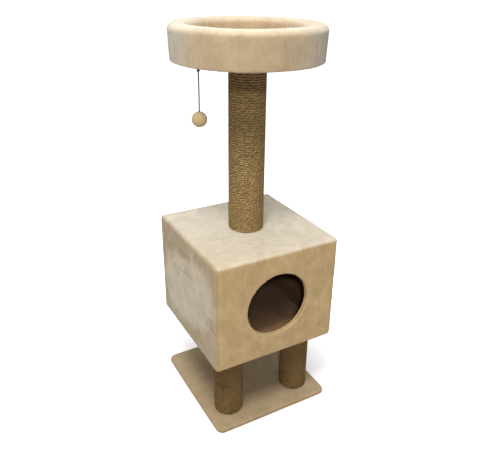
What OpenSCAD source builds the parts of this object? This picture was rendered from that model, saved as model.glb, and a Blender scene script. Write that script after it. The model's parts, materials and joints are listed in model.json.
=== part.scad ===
// Cat tree: a plush house on three short rope posts, and a tall rope post
// that carries a round plush bed with a toy ball hung under its rim.
// The origin is the middle of the base's underside, with the entrance facing -Y.

/* [Boards and plush] */
// Thickness of every board
board_t = 9; // [6:1:15]
// Thickness of the plush over a board
plush_t = 3; // [2:0.5:5]
// Thickness of the plush where it is pressed flat under a board
hem_t = 1; // [0.5:0.25:2]

/* [Base] */
// Width of the covered base
base_w = 358; // [300:1:500]
// Depth of the covered base
base_d = 370; // [300:1:500]
// Corner radius of the covered base, seen from above
base_corner_r = 20; // [8:1:40]
// Width of the plush turned under the base
base_hem_w = 30; // [15:1:40]

/* [Posts] */
// Outer diameter of a short post's cardboard tube
leg_tube_d = 70; // [50:1:90]
// Height of a short post
leg_h = 203; // [120:1:400]
// Gap from the house's side to the nearest short post
leg_gap_x = 29; // [25:1:60]
// Gap from the house's front or back to the nearest short post
leg_gap_y = 33; // [25:1:60]
// Outer diameter of the tall post's cardboard tube
post_tube_d = 84; // [60:1:120]
// Height of the tall post
post_h = 446; // [250:1:800]
// Wall of a cardboard tube
tube_wall = 4; // [3:0.5:6]
// Diameter of the wound rope
rope_d = 6; // [4:0.5:10]

/* [House] */
// Width of the covered house
house_w = 360; // [300:1:450]
// Depth of the covered house
house_d = 360; // [300:1:450]
// Height of the covered house
house_h = 306; // [250:1:400]
// Radius of the covered house's upright edges
house_edge_r = 8; // [4:0.5:9]
// Width of the plush turned under the house
house_hem_w = 22; // [12:1:24]
// Diameter of the finished entrance
entrance_d = 182; // [120:1:200]
// Height of the entrance's middle above the house's underside
entrance_h = 153; // [120:1:180]
// Thickness of the plush turned into the entrance
lining_t = 1.5; // [1:0.25:3]
// Width of the plush glued round the entrance on the inside
lining_w = 18; // [10:1:25]

/* [Bed] */
// Diameter of the covered rim
bed_d = 380; // [320:1:500]
// Height of the covered bed
bed_h = 86; // [70:1:140]
// Width of the covered rim
rim_w = 46; // [30:1:60]
// Amount that the rim bulges past the wall under it
rim_bulge = 3; // [1:0.5:5]
// Thickness of the bent hardboard wall
wall_t = 3; // [2:0.5:5]
// Width of the plush turned under the bed
bed_hem_w = 28; // [15:1:30]
// Thickness of the pad on the bed's floor
pad_t = 22; // [12:1:30]
// Gap between the pad and the rim
pad_gap = 4; // [2:1:10]

/* [Fasteners] */
// Diameter of a connector bolt
bolt_d = 8; // [6:1:10]
// Length of a connector bolt under its head
bolt_l = 28; // [26:1:30]
// Diameter of a connector bolt's flat head
bolt_head_d = 18; // [14:1:24]
// Thickness of a connector bolt's flat head
bolt_head_t = 2; // [1.5:0.5:3]
// Thickness of a wooden plug in a tube's end
plug_t = 24; // [22:1:30]
// Outer diameter of a threaded insert
insert_d = 12; // [11:1:14]
// Length of a threaded insert
insert_l = 15; // [10:1:18]
// Clearance round a bolt in its hole
bolt_clear = 0.5; // [0.2:0.1:1]
// Diameter of a wood screw
screw_d = 4; // [3:0.5:5]
// Length of a wood screw
screw_l = 32; // [25:1:40]

/* [Toy] */
// Distance from the tall post's axis to the toy
toy_reach = 131; // [110:1:145]
// Diameter of the toy ball
ball_d = 38; // [30:1:50]
// Thickness of the toy ball's plush
ball_plush_t = 2; // [1:0.5:4]
// Diameter of the toy's cord
cord_d = 3; // [2:0.25:3]
// Wire diameter of the staple that holds the toy
staple_d = 1.2; // [1:0.1:1.6]
// Clearance between the linked loops
link_gap = 0.2; // [0.1:0.05:0.4]

/* [Hidden] */
$fn = 72;

// Levels, from the ground up
base_t = hem_t + board_t + plush_t;
floor_z = base_t + leg_h;
house_z = floor_z - hem_t;
house_top = house_z + house_h;
roof_z = house_top - plush_t - board_t;
bed_board_z = house_top + post_h;
bed_z = bed_board_z - hem_t;
bed_floor_z = bed_board_z + board_t;
bed_top = bed_z + bed_h;

// Posts
leg_r = leg_tube_d / 2 + rope_d;
post_r = post_tube_d / 2 + rope_d;
leg_x = house_w / 2 - leg_gap_x - leg_r;
leg_y = house_d / 2 - leg_gap_y - leg_r;
LEFT = [-leg_x, -leg_y];
RIGHT = [leg_x, -leg_y];
REAR = [0, leg_y];
MIDDLE = [0, 0];

// House boards
panel_w = house_w - 2 * plush_t;
panel_d = house_d - 2 * plush_t;
wall_z = floor_z + board_t;
panel_h = roof_z - wall_z;
entrance_z = house_z + entrance_h;
edge_r = min(house_edge_r, 3 * plush_t);

// Bed radii
rim_out = bed_d / 2;
rim_in = rim_out - rim_w;
foam_out = rim_out - plush_t;
foam_in = rim_in + plush_t;
foam_r = (foam_out - foam_in) / 2;
foam_mid_z = bed_top - plush_t - foam_r;
wall_out = foam_out - rim_bulge;
bed_board_r = wall_out - wall_t;
skirt_out = wall_out + plush_t;
wall_h = foam_mid_z - bed_board_z;

// Toy: the staple's crown, the hitch round it and the cord's loop through the hitch
hitch_r = 4;
loop_r = 3.3;
knot_r = 3;
end_knot_r = 4;
staple_drop = 6;
staple_w = 12;
staple_leg = 6;
staple_leg_t = 1;
crown_z = bed_board_z - staple_drop;
hitch_top = crown_z + staple_d / 2 + cord_d / 2 + link_gap;
hitch_z = hitch_top - hitch_r;
pivot_z = hitch_z - hitch_r;
loop_z = pivot_z + cord_d + link_gap - loop_r;
knot_z = loop_z - loop_r - knot_r + cord_d / 4;

// Route of the toy's cord, from the knot under its loop down into the ball
CORD = [
    [0, 0, 0], [0.1, 0, -8], [0.2, 0, -16], [0.3, 0.1, -24], [0.4, 0.1, -32], [0.5, 0.1, -40],
    [0.5, 0.2, -48], [0.5, 0.2, -56], [0.5, 0.2, -64], [0.4, 0.2, -72], [0.3, 0.1, -80],
    [0.2, 0.1, -88], [0.1, 0, -96], [0, 0, -103], [0, 0, -109], [0, 0, -115]
];
ball_z = knot_z + CORD[len(CORD) - 1][2];

// Colours
PLUSH = [0.80, 0.72, 0.58];
ROPE = [0.46, 0.36, 0.22];
BOARD = [0.62, 0.47, 0.31];
CARD = [0.66, 0.54, 0.40];
WOOD = [0.78, 0.64, 0.44];
STEEL = [0.68, 0.69, 0.71];
BRASS = [0.75, 0.62, 0.32];
FOAM = [0.93, 0.91, 0.84];
CORD_GREY = [0.30, 0.29, 0.28];

// A rectangle with round corners, centred on the origin
module round_rect(w, d, r) {
    square([w - 2 * r, d], center = true);
    square([w, d - 2 * r], center = true);
    for (sx = [-1, 1], sy = [-1, 1])
        translate([sx * (w / 2 - r), sy * (d / 2 - r)]) circle(r);
}

module disc(r, t) {
    cylinder(r = r, h = t);
}

module pipe(r_out, r_in, h) {
    difference() {
        cylinder(r = r_out, h = h);
        translate([0, 0, -1]) cylinder(r = r_in, h = h + 2);
    }
}

// Turns a piece drawn pointing up from z = 0 so that it points down from z
module facing(up, place, z) {
    translate([place[0], place[1], z]) mirror([0, 0, up ? 0 : 1]) children();
}

// The space that a connector bolt takes in a board: its head's seat and its hole
module bolt_room(l) {
    translate([0, 0, -1]) cylinder(d = bolt_head_d + 2 * bolt_clear, h = bolt_head_t + 1);
    cylinder(d = bolt_d + 2 * bolt_clear, h = l);
}

module bolt() {
    color(STEEL) difference() {
        union() {
            cylinder(d = bolt_head_d, h = bolt_head_t);
            cylinder(d = bolt_d, h = bolt_head_t + bolt_l);
        }
        translate([0, 0, -1]) cylinder(d = bolt_d / 2, h = bolt_head_t + 2);
    }
}

module insert() {
    color(BRASS) pipe(insert_d / 2, bolt_d / 2, insert_l);
}

// A wooden plug with a seat for its insert at z = 0, in a tube of diameter tube_d
module plug(tube_d) {
    color(WOOD) difference() {
        cylinder(d = tube_d - 2 * tube_wall, h = plug_t);
        translate([0, 0, -1]) cylinder(d = insert_d, h = insert_l + 1);
        translate([0, 0, -1]) cylinder(d = bolt_d + 2 * bolt_clear, h = plug_t + 2);
    }
}

module tube(tube_d, h) {
    color(CARD) pipe(tube_d / 2, tube_d / 2 - tube_wall, h);
}

module rope(tube_d, h) {
    color(ROPE) pipe(tube_d / 2 + rope_d, tube_d / 2, h);
}

// Where each bolt starts: under the base, on the house's floor, under its roof and in the bed
module foot_bolts_room() {
    for (p = [LEFT, RIGHT, REAR]) facing(true, p, hem_t) bolt_room(base_t);
}

module head_bolts_room() {
    for (p = [LEFT, RIGHT, REAR]) facing(false, p, wall_z) bolt_room(board_t + 1);
}

module base_board() {
    color(BOARD) difference() {
        translate([0, 0, hem_t]) linear_extrude(board_t)
            round_rect(base_w - 2 * plush_t, base_d - 2 * plush_t, base_corner_r - plush_t);
        foot_bolts_room();
    }
}

module base_cover() {
    color(PLUSH) difference() {
        linear_extrude(base_t) round_rect(base_w, base_d, base_corner_r);
        translate([0, 0, hem_t]) linear_extrude(board_t)
            round_rect(base_w - 2 * plush_t, base_d - 2 * plush_t, base_corner_r - plush_t);
        translate([0, 0, -1]) linear_extrude(hem_t + 2)
            square([base_w - 2 * base_hem_w, base_d - 2 * base_hem_w], center = true);
        foot_bolts_room();
    }
}

module leg_tube(place) {
    facing(true, place, base_t) tube(leg_tube_d, leg_h);
}

module leg_rope(place) {
    facing(true, place, base_t) rope(leg_tube_d, leg_h);
}

module leg_foot_plug(place) {
    facing(true, place, base_t) plug(leg_tube_d);
}

module leg_head_plug(place) {
    facing(false, place, floor_z) plug(leg_tube_d);
}

module leg_foot_insert(place) {
    facing(true, place, base_t) insert();
}

module leg_head_insert(place) {
    facing(false, place, floor_z) insert();
}

module leg_foot_bolt(place) {
    facing(true, place, hem_t) bolt();
}

module leg_head_bolt(place) {
    facing(false, place, wall_z) bolt();
}

// A countersunk wood screw, its head's face at z = 0
module wood_screw() {
    cylinder(d1 = 2 * screw_d, d2 = screw_d, h = screw_d / 2);
    cylinder(d = screw_d, h = screw_l);
}

// Screws through the floor and the roof into the walls, and through the front and back
// into the sides, each along the middle of the board that it enters
module screws() {
    edge_x = panel_w / 2 - board_t / 2;
    edge_y = panel_d / 2 - board_t / 2;
    for (level = [0, 1], s = [-1, 1], t = [-1, 1]) {
        z = level == 0 ? floor_z : roof_z + board_t;
        facing(level == 0, [s * panel_w / 3, t * edge_y], z) wood_screw();
        facing(level == 0, [s * edge_x, t * panel_d / 4], z) wood_screw();
    }
    for (level = [1, 3], s = [-1, 1], t = [-1, 1])
        translate([s * edge_x, t * panel_d / 2, wall_z + level * panel_h / 4])
            rotate([t * 90, 0, 0]) wood_screw();
}

module house_screws() {
    color(STEEL) screws();
}

module house_floor() {
    color(BOARD) difference() {
        translate([-panel_w / 2, -panel_d / 2, floor_z]) cube([panel_w, panel_d, board_t]);
        head_bolts_room();
        screws();
    }
}

module house_roof() {
    color(BOARD) difference() {
        translate([-panel_w / 2, -panel_d / 2, roof_z]) cube([panel_w, panel_d, board_t]);
        facing(true, MIDDLE, roof_z) bolt_room(board_t + 1);
        screws();
    }
}

// The front or back board, with the board's outer face at y
module cross_panel(y) {
    translate([-panel_w / 2, y, wall_z]) cube([panel_w, board_t, panel_h]);
}

// The round way in, along Y
module entrance(r, y0, y1) {
    translate([0, y0, entrance_z]) rotate([-90, 0, 0]) cylinder(r = r, h = y1 - y0);
}

module house_front() {
    color(BOARD) difference() {
        cross_panel(-panel_d / 2);
        entrance(entrance_d / 2 + lining_t, -panel_d / 2 - 1, -panel_d / 2 + board_t + 1);
        screws();
    }
}

module house_back() {
    color(BOARD) difference() {
        cross_panel(panel_d / 2 - board_t);
        screws();
    }
}

module house_side(x) {
    color(BOARD) difference() {
        translate([x, -panel_d / 2 + board_t, wall_z])
            cube([board_t, panel_d - 2 * board_t, panel_h]);
        screws();
    }
}

module house_left() {
    house_side(-panel_w / 2);
}

module house_right() {
    house_side(panel_w / 2 - board_t);
}

// Plush round the four walls, turned under the floor and into the entrance
module house_wrap() {
    front = -panel_d / 2;
    hem_w = panel_w - 2 * (house_hem_w - plush_t);
    hem_d = panel_d - 2 * (house_hem_w - plush_t);
    color(PLUSH) difference() {
        union() {
            difference() {
                translate([0, 0, house_z]) linear_extrude(house_h - plush_t)
                    round_rect(house_w, house_d, edge_r);
                translate([0, 0, floor_z]) linear_extrude(house_h)
                    square([panel_w, panel_d], center = true);
                translate([0, 0, house_z - 1]) linear_extrude(hem_t + 2)
                    square([hem_w, hem_d], center = true);
            }
            entrance(entrance_d / 2 + lining_t, front - plush_t / 2, front + board_t);
            entrance(entrance_d / 2 + lining_w, front + board_t, front + board_t + hem_t);
        }
        entrance(entrance_d / 2, front - plush_t - 1, front + board_t + hem_t + 1);
    }
}

module roof_cover() {
    color(PLUSH) difference() {
        translate([0, 0, house_top - plush_t]) linear_extrude(plush_t)
            round_rect(house_w, house_d, edge_r);
        facing(true, MIDDLE, roof_z) bolt_room(board_t + plush_t + 1);
    }
}

module floor_lining() {
    color(PLUSH) translate([0, 0, wall_z]) linear_extrude(plush_t)
        square([panel_w - 2 * board_t - 2, panel_d - 2 * board_t - 4], center = true);
}

module post_tube() {
    facing(true, MIDDLE, house_top) tube(post_tube_d, post_h);
}

module post_rope() {
    facing(true, MIDDLE, house_top) rope(post_tube_d, post_h);
}

module post_foot_plug() {
    facing(true, MIDDLE, house_top) plug(post_tube_d);
}

module post_head_plug() {
    facing(false, MIDDLE, bed_board_z) plug(post_tube_d);
}

module post_foot_insert() {
    facing(true, MIDDLE, house_top) insert();
}

module post_head_insert() {
    facing(false, MIDDLE, bed_board_z) insert();
}

module post_foot_bolt() {
    facing(true, MIDDLE, roof_z) bolt();
}

module post_head_bolt() {
    facing(false, MIDDLE, bed_floor_z) bolt();
}

// The two flat legs of the toy's staple, driven up into the bed's board
module staple_legs() {
    leg_l = staple_drop + staple_leg;
    for (s = [-1, 1])
        translate([-toy_reach, s * (staple_w - staple_leg_t) / 2, crown_z + leg_l / 2])
            cube([staple_leg_t, staple_leg_t, leg_l], center = true);
}

module bed_board() {
    color(BOARD) difference() {
        translate([0, 0, bed_board_z]) disc(bed_board_r, board_t);
        facing(false, MIDDLE, bed_floor_z) bolt_room(board_t + 1);
        staple_legs();
    }
}

module bed_wall() {
    color(BOARD) translate([0, 0, bed_board_z]) pipe(wall_out, bed_board_r, wall_h);
}

// The round top of the rim's section, of radius r
module rim_roll(r) {
    translate([rim_in + rim_w / 2, foam_mid_z]) intersection() {
        circle(r);
        translate([-r, 0]) square([2 * r, r]);
    }
}

// Half of the foam rim's section: it stands inside the wall and rolls over its top
module foam_section() {
    translate([foam_in, bed_floor_z])
        square([bed_board_r - foam_in, foam_mid_z - bed_floor_z]);
    rim_roll(foam_r);
}

module bed_foam() {
    color(FOAM) rotate_extrude() foam_section();
}

// Plush over the rim, down both sides and turned under the board
module bed_cover() {
    hem_r = skirt_out - bed_hem_w;
    color(PLUSH) difference() {
        union() {
            rotate_extrude() rim_roll(rim_w / 2);
            rotate_extrude() polygon([
                [rim_in, bed_floor_z], [rim_in, foam_mid_z], [rim_out, foam_mid_z],
                [skirt_out, bed_z + wall_h / 2], [skirt_out, bed_z],
                [hem_r, bed_z], [hem_r, bed_floor_z]
            ]);
        }
        rotate_extrude() foam_section();
        translate([0, 0, bed_board_z]) disc(bed_board_r, board_t);
        translate([0, 0, bed_board_z]) pipe(wall_out, bed_board_r, wall_h);
    }
}

module bed_pad() {
    pad_r = rim_in - pad_gap;
    color(PLUSH) translate([0, 0, bed_floor_z]) rotate_extrude() {
        square([pad_r - pad_t / 2, pad_t]);
        translate([pad_r - pad_t / 2, pad_t / 2]) circle(pad_t / 2);
    }
}

// A ring of wire or cord, its middle on the toy's line at z, in the XZ or the YZ plane
module link(r, d, z, along_x) {
    translate([-toy_reach, 0, z]) rotate(along_x ? [90, 0, 0] : [0, 90, 0])
        rotate_extrude() translate([r, 0]) circle(d / 2);
}

module toy_staple() {
    color(STEEL) union() {
        staple_legs();
        translate([-toy_reach, -staple_w / 2, crown_z]) rotate([-90, 0, 0])
            cylinder(d = staple_d, h = staple_w);
    }
}

module toy_hitch() {
    color(CORD_GREY) link(hitch_r, cord_d, hitch_z, true);
}

module toy_loop() {
    color(CORD_GREY) {
        link(loop_r, cord_d, loop_z, false);
        translate([-toy_reach, 0, knot_z]) sphere(knot_r);
    }
}

// A ring of the cord's tube at one point of its route
function cord_ring(p, sides) = [
    for (i = [0:sides - 1])
        p + cord_d / 2 * [cos(360 * i / sides), sin(360 * i / sides), 0]
];

function cord_side(k, i, sides) = [
    k * sides + i, k * sides + (i + 1) % sides,
    (k + 1) * sides + (i + 1) % sides, (k + 1) * sides + i
];

module toy_cord() {
    sides = 8;
    last = len(CORD) - 1;
    points = [for (p = CORD) each cord_ring(p, sides)];
    walls = [for (k = [0:last - 1], i = [0:sides - 1]) cord_side(k, i, sides)];
    head = [for (i = [sides - 1:-1:0]) i];
    foot = [for (i = [0:sides - 1]) last * sides + i];
    color(CORD_GREY) translate([-toy_reach, 0, knot_z])
        polyhedron(points = points, faces = concat([head], walls, [foot]));
}

module toy_knot() {
    color(CORD_GREY) translate([-toy_reach, 0, ball_z]) sphere(end_knot_r);
}

// The way that the cord takes down into the ball
module cord_room() {
    translate([-toy_reach, 0, ball_z]) cylinder(d = cord_d + 2 * bolt_clear, h = ball_d);
}

module toy_core() {
    color(FOAM) difference() {
        translate([-toy_reach, 0, ball_z]) sphere(ball_d / 2 - ball_plush_t);
        translate([-toy_reach, 0, ball_z]) sphere(end_knot_r);
        cord_room();
    }
}

module toy_plush() {
    color(PLUSH) difference() {
        translate([-toy_reach, 0, ball_z]) sphere(ball_d / 2);
        translate([-toy_reach, 0, ball_z]) sphere(ball_d / 2 - ball_plush_t);
        cord_room();
    }
}

base_board();
base_cover();
leg_tube(LEFT);  // leg_left_tube
leg_rope(LEFT);  // leg_left_rope
leg_foot_plug(LEFT);  // leg_left_foot_plug
leg_head_plug(LEFT);  // leg_left_head_plug
leg_foot_insert(LEFT);  // leg_left_foot_insert
leg_head_insert(LEFT);  // leg_left_head_insert
leg_foot_bolt(LEFT);  // leg_left_foot_bolt
leg_head_bolt(LEFT);  // leg_left_head_bolt
leg_tube(RIGHT);  // leg_right_tube
leg_rope(RIGHT);  // leg_right_rope
leg_foot_plug(RIGHT);  // leg_right_foot_plug
leg_head_plug(RIGHT);  // leg_right_head_plug
leg_foot_insert(RIGHT);  // leg_right_foot_insert
leg_head_insert(RIGHT);  // leg_right_head_insert
leg_foot_bolt(RIGHT);  // leg_right_foot_bolt
leg_head_bolt(RIGHT);  // leg_right_head_bolt
leg_tube(REAR);  // leg_rear_tube
leg_rope(REAR);  // leg_rear_rope
leg_foot_plug(REAR);  // leg_rear_foot_plug
leg_head_plug(REAR);  // leg_rear_head_plug
leg_foot_insert(REAR);  // leg_rear_foot_insert
leg_head_insert(REAR);  // leg_rear_head_insert
leg_foot_bolt(REAR);  // leg_rear_foot_bolt
leg_head_bolt(REAR);  // leg_rear_head_bolt
house_floor();
house_front();
house_back();
house_left();
house_right();
house_roof();
house_screws();
house_wrap();
roof_cover();
floor_lining();
post_tube();
post_rope();
post_foot_plug();
post_head_plug();
post_foot_insert();
post_head_insert();
post_foot_bolt();
post_head_bolt();
bed_board();
bed_wall();
bed_foam();
bed_cover();
bed_pad();
toy_staple();
toy_hitch();
toy_loop();
toy_cord();
toy_knot();
toy_core();
toy_plush();
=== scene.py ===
import json
import math

import bmesh
import bpy
from mathutils import Matrix, Vector, noise


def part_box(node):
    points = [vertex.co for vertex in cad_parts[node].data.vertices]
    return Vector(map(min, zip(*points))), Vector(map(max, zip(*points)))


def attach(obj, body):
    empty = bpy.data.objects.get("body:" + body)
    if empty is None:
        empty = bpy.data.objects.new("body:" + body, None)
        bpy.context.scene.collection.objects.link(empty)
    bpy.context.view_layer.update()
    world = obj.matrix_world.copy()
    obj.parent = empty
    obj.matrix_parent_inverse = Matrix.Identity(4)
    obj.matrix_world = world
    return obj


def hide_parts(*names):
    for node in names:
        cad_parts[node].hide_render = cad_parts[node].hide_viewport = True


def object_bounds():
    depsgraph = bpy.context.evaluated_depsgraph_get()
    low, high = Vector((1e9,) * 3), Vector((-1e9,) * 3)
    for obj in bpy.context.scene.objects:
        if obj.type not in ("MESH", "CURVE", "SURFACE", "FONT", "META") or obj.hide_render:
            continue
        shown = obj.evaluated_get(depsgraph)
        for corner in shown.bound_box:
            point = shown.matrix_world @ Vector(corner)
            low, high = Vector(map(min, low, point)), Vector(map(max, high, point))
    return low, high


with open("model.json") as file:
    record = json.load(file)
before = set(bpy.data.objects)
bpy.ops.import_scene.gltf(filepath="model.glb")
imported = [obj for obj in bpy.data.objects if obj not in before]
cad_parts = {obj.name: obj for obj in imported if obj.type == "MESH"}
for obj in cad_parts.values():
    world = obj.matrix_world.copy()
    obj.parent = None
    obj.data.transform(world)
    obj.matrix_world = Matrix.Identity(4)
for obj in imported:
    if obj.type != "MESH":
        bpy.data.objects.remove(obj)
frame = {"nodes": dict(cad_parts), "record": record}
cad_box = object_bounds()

# Camera. It stands a little over a metre up and to the left of the entrance, and looks
# down on the whole tree, from the bed's rim to the near corner of the base.
CAMERA_PLACE = (-0.6622, -1.1856, 1.1664)
CAMERA_YAW = math.radians(29.68)
CAMERA_DOWN = math.radians(25.29)
CAMERA_ROLL = math.radians(0.886)
camera = bpy.data.objects.new("camera", bpy.data.cameras.new("camera"))
camera.data.sensor_width = 36
camera.data.lens = 39.21
camera.matrix_world = (
    Matrix.Translation(CAMERA_PLACE)
    @ Matrix.Rotation(-CAMERA_YAW, 4, "Z")
    @ Matrix.Rotation(math.pi / 2 - CAMERA_DOWN, 4, "X")
    @ Matrix.Rotation(CAMERA_ROLL, 4, "Z")
)
bpy.context.scene.collection.objects.link(camera)
bpy.context.scene.camera = camera
bpy.context.scene.view_settings.view_transform = "Standard"

# Toy cord. A braided elastic cord, tied in a loop through a short hitch of the same cord
# that runs round a staple under the bed. It hangs straight down into the toy ball.
MM = 0.001
CORD_R = 1.5 * MM
CORD_SIDES = 16
CORD_RING_STEP = 0.4 * MM
BRAID_STRANDS, BRAID_PITCH = 4, 1.6 * MM
KNOT_R, KNOT_ROLL_R, KNOT_POINTS = 1.7 * MM, 0.9 * MM, 72
KNOT_RISE = 3 * MM
CORD_ROUTE = [
    (0, 0, 0), (0.1, 0, -8), (0.2, 0, -16), (0.3, 0.1, -24), (0.4, 0.1, -32), (0.5, 0.1, -40),
    (0.5, 0.2, -48), (0.5, 0.2, -56), (0.5, 0.2, -64), (0.4, 0.2, -72), (0.3, 0.1, -80),
    (0.2, 0.1, -88), (0.1, 0, -96), (0, 0, -103), (0, 0, -109), (0, 0, -115),
]


def middle(node_name):
    low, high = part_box(node_name)
    return (low + high) / 2


def add(tree, kind, inputs=None, **settings):
    """Adds a node. Each input takes a value, or the output socket that feeds it."""
    made = tree.nodes.new(kind)
    for name, value in settings.items():
        setattr(made, name, value)
    for key, value in (inputs or {}).items():
        if isinstance(value, bpy.types.NodeSocket):
            tree.links.new(value, made.inputs[key])
        else:
            made.inputs[key].default_value = value
    return made


def new_finish(name, **constants):
    """A material with one Principled shader, its constant values set on its own sockets."""
    made = bpy.data.materials.new(name)
    made.use_nodes = True
    shader = made.node_tree.nodes["Principled BSDF"]
    for key, value in constants.items():
        shader.inputs[key.replace("_", " ")].default_value = value
    return made, made.node_tree, shader


def math_node(tree, operation, a, b=0.0):
    return add(tree, "ShaderNodeMath", {0: a, 1: b}, operation=operation).outputs[0]


def shade(tree, factor, dark, light):
    """The colour between dark and light that factor asks for."""
    mix = add(tree, "ShaderNodeMix", {"Factor": factor}, data_type="RGBA")
    mix.inputs[6].default_value = (*dark, 1)
    mix.inputs[7].default_value = (*light, 1)
    return mix.outputs[2]


def object_noise(tree, scale, detail=2.0, distortion=0.0, stretch=(1, 1, 1)):
    place = add(tree, "ShaderNodeTexCoord").outputs["Object"]
    if stretch != (1, 1, 1):
        place = add(tree, "ShaderNodeMapping", {"Vector": place, "Scale": stretch}).outputs[0]
    return add(
        tree, "ShaderNodeTexNoise",
        {"Vector": place, "Scale": scale, "Detail": detail, "Distortion": distortion},
    ).outputs["Fac"]


def span(tree, value, low, high):
    return add(
        tree, "ShaderNodeMapRange", {"Value": value, "From Min": low, "From Max": high}
    ).outputs[0]


def bump(tree, height, depth):
    return add(tree, "ShaderNodeBump", {"Height": height, "Distance": depth}).outputs[0]


def place_on_cord(tree):
    """How far along a cord or rope, and what share of the way round it."""
    return (
        add(tree, "ShaderNodeAttribute", attribute_name=name).outputs["Fac"]
        for name in ("along", "around")
    )


def braid_finish():
    made, tree, shader = new_finish(
        "elastic_braid", Roughness=0.8, Sheen_Weight=0.1, Sheen_Roughness=0.5
    )
    along, around = place_on_cord(tree)
    turn = math_node(tree, "MULTIPLY", around, BRAID_STRANDS * 2 * math.pi)
    climb = math_node(tree, "MULTIPLY", along, 2 * math.pi / BRAID_PITCH)
    one_way = math_node(tree, "SINE", math_node(tree, "ADD", turn, climb))
    other_way = math_node(tree, "SINE", math_node(tree, "SUBTRACT", turn, climb))
    plait = span(tree, math_node(tree, "MAXIMUM", one_way, other_way), -0.6, 1.0)
    colour = shade(tree, plait, (0.006, 0.006, 0.006), (0.04, 0.039, 0.038))
    tree.links.new(colour, shader.inputs["Base Color"])
    tree.links.new(bump(tree, plait, 0.15 * MM), shader.inputs["Normal"])
    return made


def smooth_route(points, step, closed=False):
    """Points every step or so along a smooth curve through the given ones."""
    count = len(points)
    route = []
    for k in range(count if closed else count - 1):
        around = [k - 1, k, k + 1, k + 2]
        if closed:
            a, b, c, d = (points[i % count] for i in around)
        else:
            a, b, c, d = (points[min(max(i, 0), count - 1)] for i in around)
        parts = max(1, round((c - b).length / step))
        for n in range(parts):
            t = n / parts
            route.append(
                0.5 * (2 * b + (c - a) * t + (2 * a - 5 * b + 4 * c - d) * t * t
                       + (3 * b - a - 3 * c + d) * t ** 3)
            )
    if not closed:
        route.append(points[-1].copy())
    return route


def tube_mesh(name, route, radius, sides, closed=False):
    """A round tube along a route, with its length and its turn kept as attributes."""
    mesh = bmesh.new()
    along_layer = mesh.verts.layers.float.new("along")
    around_layer = mesh.verts.layers.float.new("around")
    rings, length, count = [], 0.0, len(route)
    side = None
    for k, point in enumerate(route):
        ahead = route[(k + 1) % count] if closed or k + 1 < count else point
        behind = route[k - 1] if closed or k else point
        direction = (ahead - behind).normalized()
        side = direction.orthogonal() if side is None else side - direction * side.dot(direction)
        side.normalize()
        up = direction.cross(side)
        length += (point - route[k - 1]).length if k else 0.0
        ring = []
        for i in range(sides):
            angle = 2 * math.pi * i / sides
            out = side * math.cos(angle) + up * math.sin(angle)
            vert = mesh.verts.new(point + out * radius)
            vert[along_layer], vert[around_layer] = length, i / sides
            ring.append(vert)
        rings.append(ring)
    for k in range(count if closed else count - 1):
        here, after = rings[k], rings[(k + 1) % count]
        for i in range(sides):
            j = (i + 1) % sides
            mesh.faces.new((here[i], here[j], after[j], after[i]))
    if not closed:
        mesh.faces.new(rings[0][::-1])
        mesh.faces.new(rings[-1])
    return mesh


def as_piece(name, mesh, material, slot, body, *stands_for):
    """Makes a finished object of a bmesh and puts it on its body."""
    for face in mesh.faces:
        face.smooth = True
    data = bpy.data.meshes.new(name)
    mesh.to_mesh(data)
    mesh.free()
    data.materials.append(material)
    return set_piece(bpy.data.objects.new(name, data), slot, body, *stands_for)


def set_piece(piece, slot, body, *stands_for):
    if piece.name not in bpy.context.scene.collection.objects:
        bpy.context.scene.collection.objects.link(piece)
    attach(piece, body)
    if stands_for:
        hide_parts(*stands_for)
    return piece


BRAID = braid_finish()
ball_middle = middle("toy_knot")
cord_top = Vector((ball_middle.x, ball_middle.y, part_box("toy_cord")[1].z))
cord_route = smooth_route([cord_top + Vector(p) * MM for p in CORD_ROUTE], CORD_RING_STEP)
toy_cord = as_piece(
    "toy_cord_braid", tube_mesh("toy_cord_braid", cord_route, CORD_R, CORD_SIDES),
    BRAID, "toy_cord", "toy", "toy_cord",
)


def ring_route(centre, radius, side, up, count=48):
    turn = 2 * math.pi / count
    return [
        centre + (side * math.cos(turn * k) + up * math.sin(turn * k)) * radius
        for k in range(count)
    ]


UP, ACROSS, DEEP = Vector((0, 0, 1)), Vector((1, 0, 0)), Vector((0, 1, 0))
hitch_low, hitch_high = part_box("toy_hitch")
hitch_route = ring_route(
    (hitch_low + hitch_high) / 2, (hitch_high.z - hitch_low.z) / 2 - CORD_R, ACROSS, UP
)
toy_hitch = as_piece(
    "toy_hitch_braid", tube_mesh("toy_hitch_braid", hitch_route, CORD_R, CORD_SIDES, True),
    BRAID, "toy_cord", "hitch", "toy_hitch",
)

# The loop is the end of the cord, brought back on itself.
loop_low, loop_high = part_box("toy_loop")
loop_r = (loop_high.y - loop_low.y) / 2 - CORD_R
loop_middle = Vector((ball_middle.x, 0, loop_high.z - CORD_R - loop_r))
loop_mesh = tube_mesh(
    "toy_loop_braid", ring_route(loop_middle, loop_r, DEEP, UP), CORD_R, CORD_SIDES, True
)

# The knot is a trefoil, pulled tight where the loop closes.
knot_middle = Vector((ball_middle.x, 0, loop_low.z + KNOT_RISE))
knot_route = []
for k in range(KNOT_POINTS):
    turn = 2 * math.pi * k / KNOT_POINTS
    reach = KNOT_R + KNOT_ROLL_R * math.cos(3 * turn)
    knot_route.append(knot_middle + Vector((
        reach * math.cos(2 * turn), KNOT_ROLL_R * math.sin(3 * turn), reach * math.sin(2 * turn)
    )))
knot_mesh = tube_mesh("toy_knot_braid", knot_route, CORD_R, CORD_SIDES, True)
toy_loop = as_piece("toy_loop_braid", loop_mesh, BRAID, "toy_cord", "toy", "toy_loop")
toy_tie = as_piece("toy_tie_braid", knot_mesh, BRAID, "toy_cord", "toy")

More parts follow.
